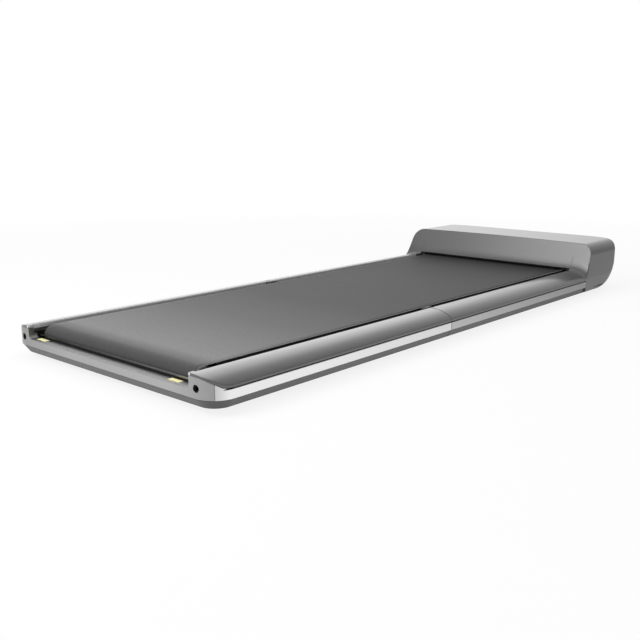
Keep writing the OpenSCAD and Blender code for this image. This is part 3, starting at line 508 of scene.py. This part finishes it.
# The front bands are painted darker towards the hood, as painted shade.
front_trim = brushed("front_band_trim", 0.26, True, lambda x, y, z: y + 0.2,
                     (0.1, 196), (0.66, 168))
front_trim.cover("front_band_left", "front_band_right")
# The crossbar is painted darker towards both ends, as painted shade.
bar_trim = brushed("crossbar_trim", 0.34, False, lambda x, y, z: x + 0.5,
                   (0.24, 158), (0.4, 178), (0.68, 182), (0.762, 160))
bar_trim.cover("rear_crossbar")
# The guard strip is painted dark at its left end and pale at its right, as painted shade and
# reflection.
guard_trim = brushed("guard_trim", 0.3, False, lambda x, y, z: x + 0.5, (0.28, 60), (0.72, 150))
guard_trim.cover("rear_guard")

# Two printed marks on the sill show where the belt should run.
# They are matt, pale yellow and slightly uneven.
ink = Finish("mark_ink", Roughness=0.6)
print_grain = ink.cloud(700, 3)
ink.shade(Base_Color=ink.mix(print_grain, (0.83, 0.76, 0.36, 1), (0.93, 0.87, 0.52, 1)))
ink.height(print_grain, 0.00003).cover("sill_marks")

# Socket-head bolts in the posts tension the rear roller, and screws hold the pans.
# All are black oxided steel.
oxide = Finish("black_oxide", Metallic=1.0)
stain = oxide.cloud(300, 3)
oxide.shade(Base_Color=oxide.mix(stain, grey(30), grey(52)), Roughness=0.36 + stain * 0.16)
oxide.cover("tension_bolts", "front_screws", "rear_screws")

# The inlet and the rocker switch are on the hood's front, moulded in glossy black.
# Three flat prongs stand in the inlet for the power lead.
switch_gloss = moulded("switch_gloss", 24, 0.22, 700, 0.00001)
switch_gloss.cover("switch_frame", "switch_rocker")
inlet_low, inlet_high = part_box("power_inlet")
prong_steel = turned("prong_steel", 200, 0.2, 900)


def prong(name, x, z):
    """One flat contact blade with chamfered tips, standing on the socket's floor."""
    size, chamfer, set_back = (0.002, 0.013, 0.004), 0.0005, 0.0105
    mesh = bmesh.new()
    bmesh.ops.create_cube(mesh, size=1)
    bmesh.ops.scale(mesh, vec=size, verts=mesh.verts)
    bmesh.ops.bevel(mesh, geom=mesh.edges[:], offset=chamfer, segments=2, affect="EDGES")
    bmesh.ops.translate(mesh, vec=(x, inlet_high.y - set_back, z), verts=mesh.verts)
    data = bpy.data.meshes.new(name)
    mesh.to_mesh(data)
    data.materials.append(prong_steel.material)
    blade = bpy.data.objects.new(name, data)
    scene.collection.objects.link(blade)
    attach(blade, "front_half")


inlet_mid = (inlet_low + inlet_high) / 2
for name, dx, dz in (("prong_left", -0.0055, -0.002), ("prong_right", 0.0055, -0.002),
                     ("prong_earth", 0, 0.0035)):
    prong(name, inlet_mid.x + dx, inlet_mid.z + dz)

# The transport wheels have soft grey-black tyres and hang just clear of the floor.
# They carry the pad when it is folded and stood on its hood end.
tyre = moulded("wheel_tyre", 30, 0.6, 800, 0.0001)
tyre.cover("wheel_left", "wheel_right")

# A pale studio floor lies under the feet, and a white sweep stands round it.
# A softbox behind the pad and to its left lights the hood's rear face, and a larger, weaker lamp
# hangs overhead. Reflections show the sweep grey, with soft bright patches in a few directions.
floor_mesh = bmesh.new()
bmesh.ops.create_grid(floor_mesh, x_segments=1, y_segments=1, size=14)
floor_data = bpy.data.meshes.new("floor")
floor_mesh.to_mesh(floor_data)
floor = bpy.data.objects.new("floor", floor_data)
scene.collection.objects.link(floor)
ground = Finish("studio_floor", Base_Color=(0.9, 0.9, 0.9, 1), Roughness=0.9)
floor_data.materials.append(ground.material)


def looked_at(board):
    """1 where the camera, a reflection or glass looks at the surface, 0 where light falls on it."""
    rays = ("Camera", "Glossy", "Transmission")
    seen, mirrored, through = (board.add("LightPath", output=f"Is {ray} Ray") for ray in rays)
    return seen + mirrored + through


away = ground.add("VectorMath", {"operation": "LENGTH"}, {0: ground.place}, output="Value")
bare = ground.spread(away * 0.2, [(0.2, (0.85, 0.85, 0.85, 1)), (0.5, (1, 1, 1, 1))])
# In reflections only, the floor is painted darker towards the hood's end of the pad, as painted
# shade.
beside_hood = ground.spread(ground.axes()[1] * 0.5 + 0.5,
                            [(0.3, (0, 0, 0, 1)), (0.9, (1, 1, 1, 1))])
painted_floor_shade = ground.add("LightPath", output="Is Glossy Ray") * beside_hood * 0.45
glow = ground.add("Emission", {}, {"Color": (1, 1, 1, 1), "Strength": 1 - painted_floor_shade})
lit = ground.add("MixShader", {}, {
    0: looked_at(ground) * bare, 1: Wire(ground, ground.shader.outputs[0]), 2: glow})
ground.wire(ground.tree.nodes["Material Output"], {"Surface": lit})

studio = bpy.data.worlds.new("studio")
scene.world = studio
studio.use_nodes = True
sweep = Board(studio.node_tree)
heading = sweep.add("TexCoord", output="Generated")


def reflected(towards, *stops):
    """A soft patch of the sweep round one direction, as reflections show it."""
    along = sweep.add("VectorMath", {"operation": "DOT_PRODUCT"}, {0: heading, 1: towards},
                      output="Value")
    greys = [(at, (level, level, level, 1)) for at, level in stops]
    return sweep.add("ValToRGB", {"stops": greys}, {0: along})


ahead_left = reflected((-0.573, 0.65, 0.5), (0.4, 0), (0.6, 0.12), (0.82, 0.22), (0.9, 0.32),
                       (0.94, 0.5), (0.985, 0.95), (1, 1))
behind_left = reflected((-0.2, -0.72, 0.66), (0.93, 0), (0.985, 1))
far_left = reflected((-0.842, 0.511, 0.17), (0.9, 0), (0.967, 0.3), (1, 1))
ahead_right = reflected((0.6, 0.8, 0.1), (0.6, 0), (0.95, 1))
shine = 0.42 + ahead_left * 1.3 + behind_left * 4.5 + far_left * 0.5 - ahead_right * 0.12
mirrored = sweep.add("LightPath", output="Is Glossy Ray")
fill = (0.48, 0.48, 0.48, 1)
light = sweep.add("Mix", {"data_type": "RGBA"}, {0: mirrored, 6: fill, 7: shine}, output=2)
seen = sweep.add("LightPath", output="Is Camera Ray")
backdrop = sweep.add("Mix", {"data_type": "RGBA"}, {0: seen, 6: light, 7: (1, 1, 1, 1)}, output=2)
sweep.wire(studio.node_tree.nodes["Background"], {"Color": backdrop})


def lamp(name, power, size, spot, aim):
    light = bpy.data.lights.new(name, "AREA")
    light.shape, light.size, light.size_y, light.energy = "RECTANGLE", size[0], size[1], power
    holder = bpy.data.objects.new(name, light)
    scene.collection.objects.link(holder)
    holder.location = spot
    holder.visible_glossy = False
    holder.rotation_euler = (Vector(aim) - Vector(spot)).to_track_quat("-Z", "Y").to_euler()


lamp("overhead", 26, (3.2, 3.2), (0.3, 0.2, 2.6), (0, 0, 0))
lamp("softbox", 48, (1.6, 1.2), (-0.9, -2.2, 2.1), (0, 0.5, 0.1))
